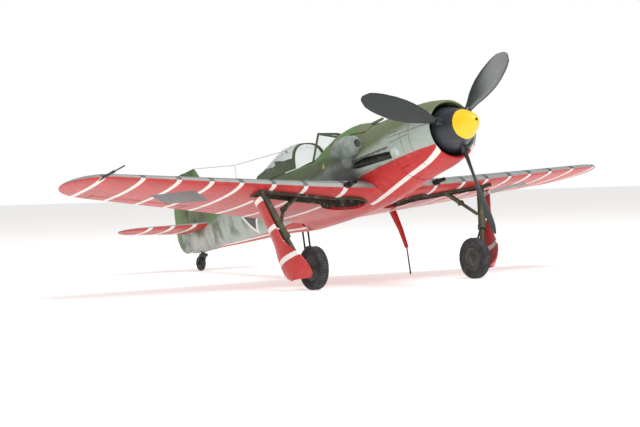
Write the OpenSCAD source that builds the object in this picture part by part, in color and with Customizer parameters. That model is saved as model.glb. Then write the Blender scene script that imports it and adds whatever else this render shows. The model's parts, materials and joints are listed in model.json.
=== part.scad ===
// Display model of a long-nosed single-seat propeller fighter, standing on its own three wheels.
// Shapes are laid out in metres of the full-size aeroplane and reduced by the model's scale.
// station: metres aft of the spinner tip.  y: metres to port.  z: metres above the thrust line.

/* [Model] */
// Scale of the model, one to this number
scale_ratio = 48; // [46:1:50]
// Thickness of the moulded skins, in mm
skin = 1; // [0.9:0.05:1.1]
// Gap left round each moving piece, in mm
gap = 0.25; // [0.2:0.01:0.3]

/* [Wings] */
// Full-size half span in metres
half_span = 5.25; // [5.2:0.01:5.3]
// Rise of the wing for each metre of span
dihedral = 0.0875; // [0.08:0.0005:0.095]
// Height of the leading edge at the middle of the aeroplane, in metres
wing_z = -0.577; // [-0.59:0.001:-0.56]

/* [Undercarriage] */
// Full-size radius of a main tyre in metres
tyre_r = 0.345; // [0.33:0.005:0.35]
// Full-size width of a main tyre in metres
tyre_w = 0.17; // [0.15:0.005:0.18]
// Full-size radius of the tail tyre in metres
tail_r = 0.155; // [0.15:0.001:0.16]

/* [Propeller] */
// Full-size radius of the propeller in metres
prop_r = 1.73; // [1.6:0.01:1.8]
// Angle of the first blade from upright towards port, in degrees
prop_turn = 45; // [0:1:119]

/* [Hidden] */
$fn = 32;
// Model millimetres for one full-size metre
m = 1000 / scale_ratio;
// Radial clearance of a turning fit, in mm
fit = 0.06;

// Where the wheels are: [station, y, z] of each axle
main_axle = [2.56, 1.6, -1.742];
tail_axle = [9.3, 0, -0.567];
// Nose-up angle at which all three tyres touch the table
wheelbase = tail_axle[0] - main_axle[0];
axle_drop = main_axle[2] - tail_axle[2];
axle_dist = sqrt(wheelbase * wheelbase + axle_drop * axle_drop);
pitch = asin((tyre_r - tail_r) / axle_dist) - atan2(axle_drop, wheelbase);
ride_height = tyre_r + main_axle[0] * sin(pitch) - main_axle[2] * cos(pitch);
// Furthest point of the rudder, which balances the model's box on the origin
rear_point = [10.19, 0, 0.62];
half_length = (rear_point[0] * cos(pitch) + rear_point[2] * sin(pitch)) / 2;

// ---------------------------------------------------------------- helpers

function at(p) = [-p[0] * m, p[1] * m, p[2] * m];

module stance() {
    translate([half_length * m, 0, ride_height * m])
        rotate([0, -pitch, 0])
            children();
}

module place(p) {
    translate(at(p))
        children();
}

// Turns a shape made along z so that it points aft along the thrust line
module along_thrust() {
    rotate([0, -90, 0])
        children();
}

// A round bar from one point to another, both in millimetres
module bar(a, b, r1, r2) {
    d = b - a;
    translate(a)
        rotate([0, acos(d[2] / norm(d)), atan2(d[1], d[0])])
            cylinder(h = norm(d), r1 = r1, r2 = r2);
}

// The same bar between two full-size points
module rod(p, q, r, r2 = undef) {
    bar(at(p), at(q), r, is_undef(r2) ? r : r2);
}

// A smooth curve through a table of [position, value] rows
function row_at(tab, x, i = 0) = (i >= len(tab) - 2 || x < tab[i + 1][0]) ? i : row_at(tab, x, i + 1);
function slope_at(tab, i) =
    let (a = max(i - 1, 0), b = min(i + 1, len(tab) - 1))
    (tab[b][1] - tab[a][1]) / (tab[b][0] - tab[a][0]);
function curve(tab, x) =
    let (
        i = row_at(tab, x),
        h = tab[i + 1][0] - tab[i][0],
        t = (x - tab[i][0]) / h,
        a = tab[i][1],
        b = tab[i + 1][1],
        ta = slope_at(tab, i) * h,
        tb = slope_at(tab, i + 1) * h
    )
    (2 * t ^ 3 - 3 * t ^ 2 + 1) * a + (t ^ 3 - 2 * t ^ 2 + t) * ta
    + (3 * t ^ 2 - 2 * t ^ 3) * b + (t ^ 3 - t ^ 2) * tb;

function total(v, i = 0) = i >= len(v) ? 0 : v[i] + total(v, i + 1);
function mean(ring) = [for (k = [0:2]) total([for (p = ring) p[k]]) / len(ring)];
function facing(ring, c) =
    let (n = len(ring), w = [for (i = [0:n - 1]) cross(ring[i] - c, ring[(i + 1) % n] - c)])
    [for (k = [0:2]) total([for (q = w) q[k]])];

// A solid through rings of equal length. A strip's ring runs out along one side and back along the other.
module loft(rings, strip = false) {
    n = len(rings[0]);
    last = len(rings) - 1;
    c = mean(rings[0]);
    forward = facing(rings[0], c) * (mean(rings[last]) - c) > 0;
    half = n / 2;
    sides = [for (r = [0:last - 1]) for (i = [0:n - 1]) for (k = [0:1])
        let (a = r * n + i, b = r * n + (i + 1) % n, c = b + n, d = a + n) k == 0 ? [a, b, c] : [a, c, d]];
    fan = [for (i = [1:n - 2]) [0, i + 1, i]];
    ladder = [for (i = [0:half - 2]) for (k = [0:1])
        k == 0 ? [i, n - 1 - i, i + 1] : [i + 1, n - 1 - i, n - 2 - i]];
    cap = strip ? ladder : fan;
    far = [for (f = cap) [f[0] + last * n, f[2] + last * n, f[1] + last * n]];
    all = concat(sides, cap, far);
    polyhedron(
        points = [for (r = rings) for (p = r) p],
        faces = forward ? [for (f = all) [f[0], f[2], f[1]]] : all,
        convexity = 8
    );
}

// ---------------------------------------------------------------- fuselage shape

// Top, bottom and widest line of the body at each station
top_line = [[1.5, 0.56], [2, 0.55], [2.4, 0.558], [2.6, 0.605], [2.8, 0.638], [3.2, 0.65], [3.55, 0.63], [3.8, 0.57], [4, 0.49],
    [4.13, 0.46], [4.72, 0.53], [5.26, 0.55], [6, 0.562], [6.3, 0.565], [6.6, 0.555], [7, 0.52],
    [7.6, 0.455], [8.4, 0.36], [9, 0.29], [9.54, 0.24]];
keel_line = [[1.5, -0.595], [1.94, -0.66], [2.5, -0.74], [3, -0.77], [3.8, -0.79], [4.8, -0.76], [5.6, -0.66],
    [6.2, -0.6], [6.8, -0.555], [7.6, -0.49], [8.4, -0.42], [9.1, -0.385], [9.54, -0.33]];
beam_line = [[1.5, 0.58], [2.2, 0.575], [3, 0.545], [4, 0.5], [5, 0.455], [6, 0.38], [7.2, 0.28],
    [8.2, 0.2], [9, 0.115], [9.54, 0.055]];
waist_line = [[1.5, 0], [3, -0.05], [4.1, -0.1], [6, -0.08], [8, 0], [9.54, 0.02]];

// A point of the body's section, turned from the top (0 degrees) round to the keel (180 degrees)
function body_point(s, turn, inset = 0) =
    let (
        top = curve(top_line, s) - inset,
        keel = curve(keel_line, s) + inset,
        beam = max(curve(beam_line, s) - inset, 0.004),
        waist = curve(waist_line, s),
        c = cos(turn)
    )
    [s, beam * sin(turn), waist + (c > 0 ? (top - waist) * c : (waist - keel) * c)];

// Height of the body's underside at a distance from the middle, or far above where there is none
function belly_z(s, y) =
    let (beam = curve(beam_line, s), waist = curve(waist_line, s), keel = curve(keel_line, s))
    abs(y) < beam * 0.98 ? waist - (waist - keel) * sqrt(1 - (y / beam) ^ 2) : 9;

body_stations = [1.5, 1.75, 2, 2.2, 2.4, 2.5, 2.6, 2.7, 2.8, 3, 3.3, 3.55, 3.8, 4, 4.13, 4.4, 4.72, 5.1, 5.5, 5.9, 6.3, 6.7,
    7.1, 7.6, 8, 8.4, 8.8, 9.2, 9.54];
body_turns = [for (i = [0:14]) i * 180 / 14];

module body_shell(side) {
    loft([for (s = body_stations)
        let (wall = min(skin / m, curve(beam_line, s) * 0.6))
        concat(
            [for (a = body_turns) let (p = body_point(s, a)) at([s, side * p[1], p[2]])],
            [for (i = [14:-1:0]) let (p = body_point(s, body_turns[i], wall)) at([s, side * p[1], p[2]])]
        )], strip = true);
}

// Canopy rail: the straight line that the hood slides along
rail_z = 0.3;
rail_s = 4.13;
rail_slope = 0.035;
function rail(s) = rail_z + rail_slope * (s - rail_s);
cockpit_front = 4.12;
cockpit_rear = 6.33;

module side_cut(points, y0, y1) {
    translate([0, y1 * m, 0])
        rotate([90, 0, 0])
            linear_extrude((y1 - y0) * m)
                polygon([for (p = points) [-p[0] * m, p[1] * m]]);
}

// Fin: leading edge, hinge line and section
fin_top = 1.34;
hinge_s = 9.6;
fin_le = [[0.1, 8], [0.36, 8.35], [0.5, 8.47], [0.9, 8.76], [1.2, 8.97], [1.34, 9.11]];
rudder_nose = 0.05;
function foil(x) = 5 * (0.2969 * sqrt(x) - 0.126 * x - 0.3516 * x ^ 2 + 0.2843 * x ^ 3 - 0.1036 * x ^ 4);
fin_te = hinge_s - rudder_nose - 0.012;
fin_steps = 8;

module fin_half(side) {
    loft([for (z = [0.1, 0.36, 0.6, 0.9, 1.15, 1.28, 1.34])
        let (
            le = curve(fin_le, z),
            chord = fin_te - le,
            thick = (z > 1.3 ? 0.5 : 1) * (0.056 - 0.016 * z)
        )
        concat(
            [for (i = [0:fin_steps])
                let (x = (i / fin_steps) ^ 1.7)
                at([le + chord * x, side * thick * min(1, 2.6 * sqrt(x) * (1 - 0.3 * x)), z])],
            [at([fin_te, 0, z])]
        )]);
}

lug_z = [0.26, 1.02];
lug_half = 0.035;
pin_r = 0.3;
tube_r = 0.5;
elevator_s = 9.14;
elevator_z = 0.1;
step_s = [5.52, 5.7];
step_y = 0.25;
step_r = 0.35;
swivel_s = 9.15;
swivel_r = 0.8;

module rudder_clearance() {
    for (z = lug_z)
        place([hinge_s, 0, z - lug_half - 0.1])
            cylinder(h = (lug_half + 0.1) * 2 * m, r = pin_r + fit);
}

// Outline of the slot for the exhaust row, seen from the side
exhaust_slot = [[1.54, -0.23], [2.44, -0.185], [2.64, -0.15], [2.6, -0.07], [2.3, -0.045], [1.54, -0.115]];

module fuselage_half(side) {
    difference() {
        union() {
            body_shell(side);
            fin_half(side);
            if (side > 0)
                for (z = lug_z)
                    place([hinge_s, 0, z - lug_half])
                        union() {
                            cylinder(h = 2 * lug_half * m, r = 0.75);
                            translate([0, -0.5, 0])
                                cube([1.6, 1, 2 * lug_half * m]);
                        }
        }
        // cockpit opening and the level sills that the hood slides over
        side_cut([[cockpit_front, rail(cockpit_front)], [cockpit_rear, rail(cockpit_rear)],
            [cockpit_rear, 1], [cockpit_front, 1]], -0.7, 0.7);
        // seat for the wing
        side_cut([[2.3, -0.56], [2.6, -0.49], [3.2, -0.46], [4, -0.5], [4.88, -0.62], [4.88, -1],
            [2.3, -1]], -0.7, 0.7);
        // recess for the exhaust row
        side_cut(exhaust_slot, side > 0 ? 0.4 : -0.8,
            side > 0 ? 0.8 : -0.4);
        rudder_clearance();
        place([elevator_s, -0.3, elevator_z])
            rotate([-90, 0, 0])
                cylinder(h = 0.6 * m, r = tube_r + fit);
        place([swivel_s, 0, -0.6])
            cylinder(h = 0.5 * m, r = swivel_r + fit);
        if (side > 0)
            for (s = step_s)
                place([s, step_y, -0.9])
                    cylinder(h = 0.6 * m, r = step_r + fit);
    }
}

module fuselage_left() {
    color("darkseagreen")
        stance()
            fuselage_half(1);
}

module fuselage_right() {
    color("lightslategray")
        stance()
            fuselage_half(-1);
}

// ---------------------------------------------------------------- nose

lip_s = 0.61;
cowl_end = 1.02;
firewall_s = 1.5;

module cowl_ring() {
    color("olivedrab")
        stance()
            along_thrust()
                rotate_extrude($fn = 64)
                    polygon([for (p = [[0.42, 0.64], [0.425, 0.617], [0.44, 0.606], [0.456, 0.61],
                        [0.47, 0.63], [0.496, 0.74], [0.528, 0.9], [0.546, cowl_end],
                        [0.5, cowl_end], [0.462, 0.96], [0.446, 0.86], [0.428, 0.72]]) p * m]);
}

module cooling_flap_ring() {
    color("seagreen")
        stance()
            difference() {
                along_thrust()
                    rotate_extrude($fn = 64)
                        polygon([for (p = [[0.512, cowl_end], [0.546, cowl_end], [0.566, 1.25], [0.588, firewall_s - 0.01],
                            [0.552, firewall_s - 0.01]]) p * m]);
                for (a = [15:30:345])
                    rotate([a, 0, 0])
                        translate([-(firewall_s) * m, -0.1, 0.5 * m])
                            cube([0.2 * m, 0.2, 0.2 * m]);
            }
}

module radiator_core() {
    color("dimgray")
        stance()
            along_thrust()
                translate([0, 0, 0.86 * m])
                    difference() {
                        cylinder(h = 0.1 * m, r = 0.447 * m, $fn = 64);
                        translate([0, 0, -1])
                            cylinder(h = 0.1 * m + 2, r = 0.28 * m, $fn = 64);
                    }
}

shaft_r = 1.5;

module gearbox_housing() {
    color("darkslategray")
        stance()
            along_thrust()
                difference() {
                    union() {
                        translate([0, 0, 0.74 * m])
                            cylinder(h = 0.16 * m, r1 = 0.2 * m, r2 = 0.28 * m);
                        translate([0, 0, 0.9 * m])
                            cylinder(h = (firewall_s - 0.9) * m, r = 0.28 * m);
                        translate([0, 0, 1.44 * m])
                            cylinder(h = (firewall_s - 1.44) * m, r = 0.55 * m, $fn = 64);
                    }
                    translate([0, 0, 0.7 * m])
                        cylinder(h = m, r = shaft_r + fit);
                }
}

module propeller_shaft() {
    color("silver")
        stance()
            along_thrust()
                translate([0, 0, 0.4 * m])
                    cylinder(h = 1.0 * m, r = shaft_r);
}

spinner_len = 0.66;
spinner_r = 0.36;
cap_len = 0.3;
blade_s = 0.52;
shank_r = 1.35;
function spinner_at(s) = spinner_r * (s / spinner_len) ^ 0.55;

module spinner_cap() {
    color("yellow")
        stance()
            along_thrust()
                difference() {
                    rotate_extrude($fn = 64)
                        polygon(concat([[0, 0]],
                            [for (i = [1:10]) let (s = cap_len * (i / 10) ^ 2) [spinner_at(s) * m, s * m]],
                            [[0, cap_len * m]]));
                    translate([0, 0, -1])
                        cylinder(h = 2, r = 0.5);
                }
}

module spinner_base() {
    color("#20242a")
        stance()
            difference() {
                along_thrust()
                    difference() {
                        rotate_extrude($fn = 64)
                            polygon(concat([[0, cap_len * m]],
                                [for (i = [0:8]) let (s = cap_len + (spinner_len - cap_len) * i / 8)
                                    [spinner_at(s) * m, s * m]],
                                [[0, spinner_len * m]]));
                        translate([0, 0, 0.4 * m])
                            cylinder(h = m, r = shaft_r);
                    }
                for (k = [0:2])
                    blade_frame(k)
                        translate([0, 0, 0.1 * m])
                            cylinder(h = 0.5 * m, r = shank_r);
            }
}

// Blade k's own axes: z runs out along the blade
module blade_frame(k) {
    translate([-blade_s * m, 0, 0])
        rotate([-prop_turn - 120 * k, 0, 0])
            children();
}

blade_chord = [[0.34, 0.1], [0.5, 0.17], [0.75, 0.3], [1, 0.36], [1.25, 0.35], [1.5, 0.29], [1.64, 0.21],
    [1.73, 0.06]];
blade_pitch = [[0.34, 62], [0.75, 48], [1.1, 38], [1.5, 30], [1.73, 27]];
blade_thick = [[0.34, 0.07], [0.5, 0.06], [0.75, 0.045], [1.25, 0.028], [1.73, 0.01]];

module blade_solid() {
    grow = prop_r / 1.73;
    loft([for (r = [0.38, 0.46, 0.55, 0.7, 0.85, 1, 1.2, 1.4, 1.52, 1.62, 1.69, 1.73])
        let (c = curve(blade_chord, r) / 2, t = curve(blade_thick, r) / 2, a = curve(blade_pitch, r))
        [for (i = [0:15])
            let (u = cos(i * 22.5) * c, v = sin(i * 22.5) * t)
            [(v * cos(a) + u * sin(a)) * m, (u * cos(a) - v * sin(a)) * m, r * grow * m]]]);
    translate([0, 0, 0.1 * m])
        cylinder(h = 0.3 * m, r = shank_r);
}

module propeller_blade(k) {
    color("#1c2220")
        stance()
            blade_frame(k)
                blade_solid();
}

// ---------------------------------------------------------------- engine cowling

cover_turns = [for (a = [-42:6:42]) a];
function cover_lift(s, a) =
    0.012 + 0.025 * exp(-((abs(a) - 17) / 8) ^ 2) * max(0, sin((s - 2.36) / 1.14 * 180));

module gun_cover() {
    color("olivedrab")
        stance()
            union() {
                loft([for (s = [2.36, 2.5, 2.65, 2.8, 3, 3.2, 3.35, 3.5])
                    concat(
                        [for (a = cover_turns) at(body_point(s, a, -cover_lift(s, a)))],
                        [for (i = [len(cover_turns) - 1:-1:0]) at(body_point(s, cover_turns[i], -0.002))]
                    )], strip = true);
                for (y = [-0.2, 0.2])
                    rod([2.42, y, 0.55], [2.1, y, 0.555], 0.45);
            }
}

module supercharger_intake() {
    color("lightgray")
        stance()
            difference() {
                union() {
                    place([2.3, -0.62, 0.2])
                        along_thrust()
                            rotate_extrude($fn = 48)
                                polygon([for (p = [[0, 0.12], [0.066, 0.12], [0.07, 0], [0.095, 0.01],
                                    [0.15, 0.1], [0.185, 0.24], [0.19, 0.4], [0.16, 0.56], [0.09, 0.7],
                                    [0, 0.74]]) p * m]);
                    hull() {
                        place([2.66, -0.58, 0.12])
                            sphere(0.15 * m);
                        place([2.74, -0.52, -0.02])
                            sphere(0.12 * m);
                    }
                }
                body_core();
            }
}

// The body's outer surface from the nose to the wing, as a solid for cutting
module body_core() {
    loft([for (s = [2, 2.4, 2.6, 2.8, 3, 3.55, 4])
        [for (i = [0:27]) at(body_point(s, i * 360 / 28, -0.004))]]);
}

stub_count = 6;

module exhaust_row(side) {
    first = 1.6;
    step = 0.155;
    color("#4a4038")
        stance()
            union() {
                side_cut(exhaust_slot, side > 0 ? 0.46 : -0.5, side > 0 ? 0.5 : -0.46);
                for (i = [0:stub_count - 1])
                    let (s = first + step * i, z = -0.17 + 0.055 * (s - 1.6))
                    rod([s, side * 0.49, z], [s + 0.12, side * 0.585, z - 0.005], 0.95);
            }
}

module exhaust_left() {
    exhaust_row(1);
}

module exhaust_right() {
    exhaust_row(-1);
}

module side_blister() {
    color("silver")
        stance()
            place([1.4, -0.545, -0.155])
                rotate([105, 0, 0])
                    cylinder(h = 0.05 * m, r1 = 0.085 * m, r2 = 0.06 * m);
}

// ---------------------------------------------------------------- wing

tip_start = 4.7;
tip_mid = 3.55;
edge = 0.017;
function tip_squeeze(a) = a <= tip_start ? 1 : max(0.12, sqrt(1 - ((a - tip_start) / (half_span - tip_start)) ^ 2));
function le0(a) = 2.36 + 0.085 * a - 0.12 * max(0, 1.3 - a);
function te0(a) = 4.85 - 0.15 * a;
function wing_le(a) = tip_mid - (tip_mid - le0(a)) * tip_squeeze(a);
function wing_te(a) = tip_mid + (te0(a) - tip_mid) * tip_squeeze(a);
function chord_line(a, x) = wing_z + dihedral * a - 0.07 * (1 - a / 6) * x;
function camber(a, x) = 0.018 * (wing_te(a) - wing_le(a)) * sin(180 * sqrt(x));
function wing_mid(a, x) = chord_line(a, x) + camber(a, x);
function wing_half(a, x) =
    (0.15 - 0.0115 * a) * (wing_te(a) - wing_le(a)) * foil(x) + edge * x * tip_squeeze(a);
function wing_s(a, x) = wing_le(a) + (wing_te(a) - wing_le(a)) * x;

wing_steps = 13;
function wing_x(i) = (1 - cos(180 * i / wing_steps)) / 2;
function tuck(x) = 0.02 + 0.96 * x;
function upper_z(a, x) = wing_mid(a, x) + wing_half(a, x);
function lower_z(a, x) = min(wing_mid(a, x) - wing_half(a, x), belly_z(wing_s(a, x), a));
spans = [0.4, 0.7, 1.3, 2, 2.7, 3.4, 4.1, 4.7, 4.9, 5.05, 5.16, 5.22, half_span];
belly_spans = [0, 0.15, 0.28, 0.38, 0.46, 0.54, 0.7, 1.3, 2, 2.7, 3.4, 4.1, 4.7, 4.9, 5.05, 5.16, 5.22,
    half_span];

module upper_skin(side) {
    loft([for (a = spans)
        concat(
            [for (i = [0:wing_steps]) let (x = wing_x(i)) at([wing_s(a, x), side * a, upper_z(a, x)])],
            [for (i = [wing_steps:-1:0])
                let (x = tuck(wing_x(i)))
                at([wing_s(a, x), side * a, max(wing_mid(a, x), upper_z(a, x) - skin / m)])]
        )], strip = true);
}

module lower_skin() {
    halves = concat([for (i = [len(belly_spans) - 1:-1:1]) -belly_spans[i]], belly_spans);
    loft([for (y = halves)
        let (a = abs(y))
        concat(
            [for (i = [0:wing_steps]) let (x = wing_x(i)) at([wing_s(a, x), y, lower_z(a, x)])],
            [for (i = [wing_steps:-1:0])
                let (x = tuck(wing_x(i)))
                at([wing_s(a, x), y, min(wing_mid(a, x) - 0.001, lower_z(a, x) + skin / m)])]
        )], strip = true);
}

// Ailerons: the hinge is a straight line, and the nose is a cone about it
aileron_in = 2.95;
aileron_out = 4.62;
hinge_x = 0.79;
function hinge_point(a) = [wing_s(a, hinge_x), a, wing_mid(a, hinge_x)];
function line_point(a) =
    let (p = hinge_point(aileron_in), q = hinge_point(aileron_out), t = (a - aileron_in) / (aileron_out - aileron_in))
    p + (q - p) * t;
function nose_r(a) = wing_half(a, hinge_x) * m;
nose_turns = [for (i = [0:6]) 90 + 30 * i];

// Runs a cone along the aileron's hinge from one span position to another
module hinge_cone(a, b, grow) {
    bar(at(line_point(a)), at(line_point(b)), nose_r(a) + grow, nose_r(b) + grow);
}

module aileron_bay() {
    hinge_cone(aileron_in - 0.014, aileron_out + 0.014, gap);
    loft([for (a = [aileron_in - 0.014, aileron_out + 0.014])
        let (p = line_point(a), e = wing_te(a) + 0.1)
        [at([p[0], a, p[2] - 0.12]), at([e, a, p[2] - 0.16]), at([e, a, p[2] + 0.08]),
            at([p[0], a, p[2] + 0.12])]]);
    bar(at(line_point(aileron_in - 0.07)), at(line_point(aileron_out + 0.07)), pin_r + fit, pin_r + fit);
}

module aileron(side) {
    color("olivedrab")
        stance()
            mirror([0, side > 0 ? 0 : 1, 0]) {
                loft([for (a = [aileron_in, 3.5, 4.05, aileron_out])
                    let (p = line_point(a), r = nose_r(a) / m)
                    concat(
                        [for (t = nose_turns) at([p[0] + r * cos(t), a, p[2] + r * sin(t)])],
                        [for (x = [0.9, 1]) at([wing_s(a, x), a, wing_mid(a, x) - wing_half(a, x)])],
                        [for (x = [1, 0.9]) at([wing_s(a, x), a, wing_mid(a, x) + wing_half(a, x)])]
                    )]);
                bar(at(line_point(aileron_in - 0.05)), at(line_point(aileron_in + 0.1)), pin_r, pin_r);
                bar(at(line_point(aileron_out - 0.1)), at(line_point(aileron_out + 0.05)), pin_r, pin_r);
            }
}

module left_aileron() {
    aileron(1);
}

module right_aileron() {
    aileron(-1);
}

// Split flaps: plates let into the lower skin, hinged along their front edge
flap_in = 0.72;
flap_out = 2.88;
flap_x = 0.8;
flap_depth = 0.045;
barrel_r = 0.42;
function flap_axis(a) =
    let (
        p = [wing_s(flap_in, flap_x), flap_in, lower_z(flap_in, flap_x) + barrel_r / m],
        q = [wing_s(flap_out, flap_x), flap_out, lower_z(flap_out, flap_x) + barrel_r / m],
        t = (a - flap_in) / (flap_out - flap_in)
    )
    p + (q - p) * t;
function flap_ring(a, lo, hi, front, rear) =
    let (p = flap_axis(a), low = barrel_r / m, te = wing_te(a), edge_z = lower_z(a, 1))
    [at([p[0] + front, a, p[2] - low - lo]), at([te + rear, a, edge_z - lo]),
        at([te + rear, a, edge_z + edge * 0.8 + hi]), at([p[0] + front, a, p[2] + low + hi])];

module flap_bay() {
    bar(at(flap_axis(flap_in - 0.012)), at(flap_axis(flap_out + 0.012)), barrel_r + gap * 0.7, barrel_r + gap * 0.7);
    loft([for (a = [flap_in - 0.012, flap_out + 0.012]) flap_ring(a, 0.12, 0.008, 0, 0.06)]);
    bar(at(flap_axis(flap_in - 0.06)), at(flap_axis(flap_out + 0.06)), 0.25 + fit, 0.25 + fit);
}

module flap(side) {
    color("firebrick")
        stance()
            mirror([0, side > 0 ? 0 : 1, 0]) {
                loft([for (a = [flap_in, 1.5, 2.2, flap_out]) flap_ring(a, 0, 0, 0, 0)]);
                bar(at(flap_axis(flap_in)), at(flap_axis(flap_out)), barrel_r, barrel_r);
                bar(at(flap_axis(flap_in - 0.05)), at(flap_axis(flap_out + 0.05)), 0.25, 0.25);
            }
}

module left_flap() {
    flap(1);
}

module right_flap() {
    flap(-1);
}

// Wheel wells: a round bay near the middle and a slot out to the leg
well_mid = [2.96, 0.62];
well_r = 0.37;
slot_out = [2.86, 2.3];
slot_w = 0.27;
well_tilt = 6.2;

module well_outline(grow) {
    translate([-well_mid[0] * m, well_mid[1] * m])
        circle((well_r + grow) * m);
    polygon([for (p = [[well_mid[0] - slot_w / 2 - 0.1 - grow, well_mid[1]],
        [slot_out[0] - slot_w / 2 - grow, slot_out[1] + grow],
        [slot_out[0] + slot_w / 2 + grow, slot_out[1] + grow],
        [well_mid[0] + slot_w / 2 + 0.02 + grow, well_mid[1]]]) [-p[0] * m, p[1] * m]]);
}

module well_hole(side) {
    mirror([0, side > 0 ? 0 : 1, 0])
        translate([0, 0, -m])
            linear_extrude(0.62 * m)
                well_outline(0);
}

module well_liner(side) {
    color("darkolivegreen")
        stance()
            mirror([0, side > 0 ? 0 : 1, 0])
                translate([0, 0, -0.735 * m])
                    rotate([well_tilt, 0, 0])
                        difference() {
                            linear_extrude(0.2 * m)
                                well_outline(0.03);
                            translate([0, 0, -1])
                                linear_extrude(0.17 * m + 1)
                                    well_outline(0);
                        }
}

module left_well_liner() {
    well_liner(1);
}

module right_well_liner() {
    well_liner(-1);
}

module wing_lower() {
    color("red")
        stance()
            difference() {
                lower_skin();
                for (side = [1, -1]) {
                    well_hole(side);
                    mirror([0, side > 0 ? 0 : 1, 0]) {
                        aileron_bay();
                        flap_bay();
                    }
                }
            }
}

module wing_upper(side) {
    color("olive")
        stance()
            difference() {
                upper_skin(side);
                mirror([0, side > 0 ? 0 : 1, 0]) {
                    aileron_bay();
                    flap_bay();
                }
            }
}

module left_wing_upper() {
    wing_upper(1);
}

module right_wing_upper() {
    wing_upper(-1);
}

module wing_cannon_barrels() {
    color("#202020")
        stance()
            for (side = [1, -1])
                difference() {
                    union() {
                        rod([2.6, side * 0.875, -0.47], [2.3, side * 0.875, -0.465], 1.05);
                        rod([2.3, side * 0.875, -0.465], [2.13, side * 0.875, -0.462], 0.7);
                    }
                    rod([2.3, side * 0.875, -0.4649], [2.1, side * 0.875, -0.4615], 0.38);
                }
}

module pitot_tube() {
    y = -4.87;
    color("#303030")
        stance()
            union() {
                rod([3, y, -0.165], [2.42, y, -0.165], 0.42);
                rod([2.42, y, -0.165], [2.05, y, -0.165], 0.22);
            }
}

// ---------------------------------------------------------------- undercarriage

leg_top = [2.86, 2.2, -0.41];
leg_foot = [2.56, 1.79, -1.742];
function leg_at(t) = leg_top + (leg_foot - leg_top) * t;
axle_r = 0.6;

module gear_strut(side) {
    color("darkolivegreen")
        stance()
            mirror([0, side > 0 ? 0 : 1, 0])
                union() {
                    rod(leg_top, leg_at(0.6), 1.3);
                    rod(leg_at(0.6), leg_foot, 0.85);
                    rod(leg_at(0.57), leg_at(0.62), 1.5);
                    rod(leg_at(0.9), [2.56, 1.79, -1.8], 1.05);
                    rod([2.56, 1.81, -1.742], [2.56, 1.52, -1.742], axle_r);
                    rod(leg_top - [0.14, 0, 0], leg_top + [0.14, 0, 0], 0.8);
                }
}

module left_gear_strut() {
    gear_strut(1);
}

module right_gear_strut() {
    gear_strut(-1);
}

// Door: how far it reaches ahead of and behind the leg, at each fraction of its length
door_top = [2.86, 2.3, -0.53];
door_foot = [2.6, 1.93, -1.91];
door_ahead = [[0, 0.12], [0.5, 0.13], [0.62, 0.2], [0.74, 0.33], [0.88, 0.36], [0.96, 0.3], [1, 0.2]];
door_behind = [[0, 0.14], [0.5, 0.15], [0.62, 0.19], [0.74, 0.26], [0.88, 0.28], [0.96, 0.24], [1, 0.15]];
door_thick = 0.028;
function door_point(t, u, deep) =
    let (
        c = door_top + (door_foot - door_top) * t,
        reach = u < 0 ? curve(door_ahead, t) : curve(door_behind, t),
        bulge = 0.05 * max(0, (t - 0.5) * 2) + 0.012,
        curl = u < 0 ? 0.14 * max(0, t - 0.55) * 2.2 : 0.02
    )
    [c[0] + reach * u, c[1] + bulge * (1 - u * u) - curl * u * u - deep, c[2]];

module gear_door(side) {
    color("crimson")
        stance()
            mirror([0, side > 0 ? 0 : 1, 0])
                union() {
                    loft([for (t = [0, 0.15, 0.3, 0.45, 0.55, 0.62, 0.68, 0.74, 0.82, 0.9, 0.96, 1])
                        concat(
                            [for (i = [-5:5]) at(door_point(t, i / 5, 0))],
                            [for (i = [5:-1:-5]) at(door_point(t, i / 5, door_thick))]
                        )], strip = true);
                    for (t = [0.12, 0.5])
                        rod(leg_at(t) + [0, 0.055, 0], leg_at(t) + [0, 0.11, 0], 0.5);
                }
}

module left_gear_door() {
    gear_door(1);
}

module right_gear_door() {
    gear_door(-1);
}

module torque_links() {
    color("dimgray")
        stance()
            for (side = [1, -1])
                mirror([0, side > 0 ? 0 : 1, 0])
                    let (knee = leg_at(0.76) + [0.15, 0, 0.01])
                    union() {
                        rod(leg_at(0.63) + [0.055, 0, 0], knee, 0.42, 0.34);
                        rod(knee, leg_at(0.9) + [0.055, 0, 0], 0.34, 0.42);
                        rod(knee - [0, 0.03, 0], knee + [0, 0.03, 0], 0.45);
                    }
}

module side_braces() {
    color("olivedrab")
        stance()
            for (side = [1, -1])
                mirror([0, side > 0 ? 0 : 1, 0])
                    union() {
                        rod(leg_at(0.42) + [0.02, -0.065, 0.01], [2.94, 1.78, -0.72], 0.62);
                        rod([2.94, 1.78, -0.72], [2.98, 1.5, -0.52], 0.8);
                        rod([2.9, 1.78, -0.72], [2.98, 1.78, -0.72], 0.9);
                    }
}

module wheel_axis(p) {
    place(p)
        rotate([90, 0, 0])
            children();
}

module wheel_hub(side) {
    r = 0.205;
    w = tyre_w / 2;
    color("gray")
        stance()
            wheel_axis([main_axle[0], side * main_axle[1], main_axle[2]])
                mirror([0, 0, side > 0 ? 0 : 1])
                    difference() {
                        rotate_extrude($fn = 64)
                            polygon([for (p = [[0, -w * 0.6], [r, -w * 0.6], [r, w * 0.6], [r * 0.85, w * 0.72],
                                [r * 0.7, w * 0.5], [r * 0.34, w * 0.62], [r * 0.3, w * 0.95],
                                [r * 0.2, w * 1.05], [0, w * 1.05]]) p * m]);
                        translate([0, 0, -10])
                            cylinder(h = 10 + 0.08 * m, r = axle_r + fit);
                    }
}

module left_wheel_hub() {
    wheel_hub(1);
}

module right_wheel_hub() {
    wheel_hub(-1);
}

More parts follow.
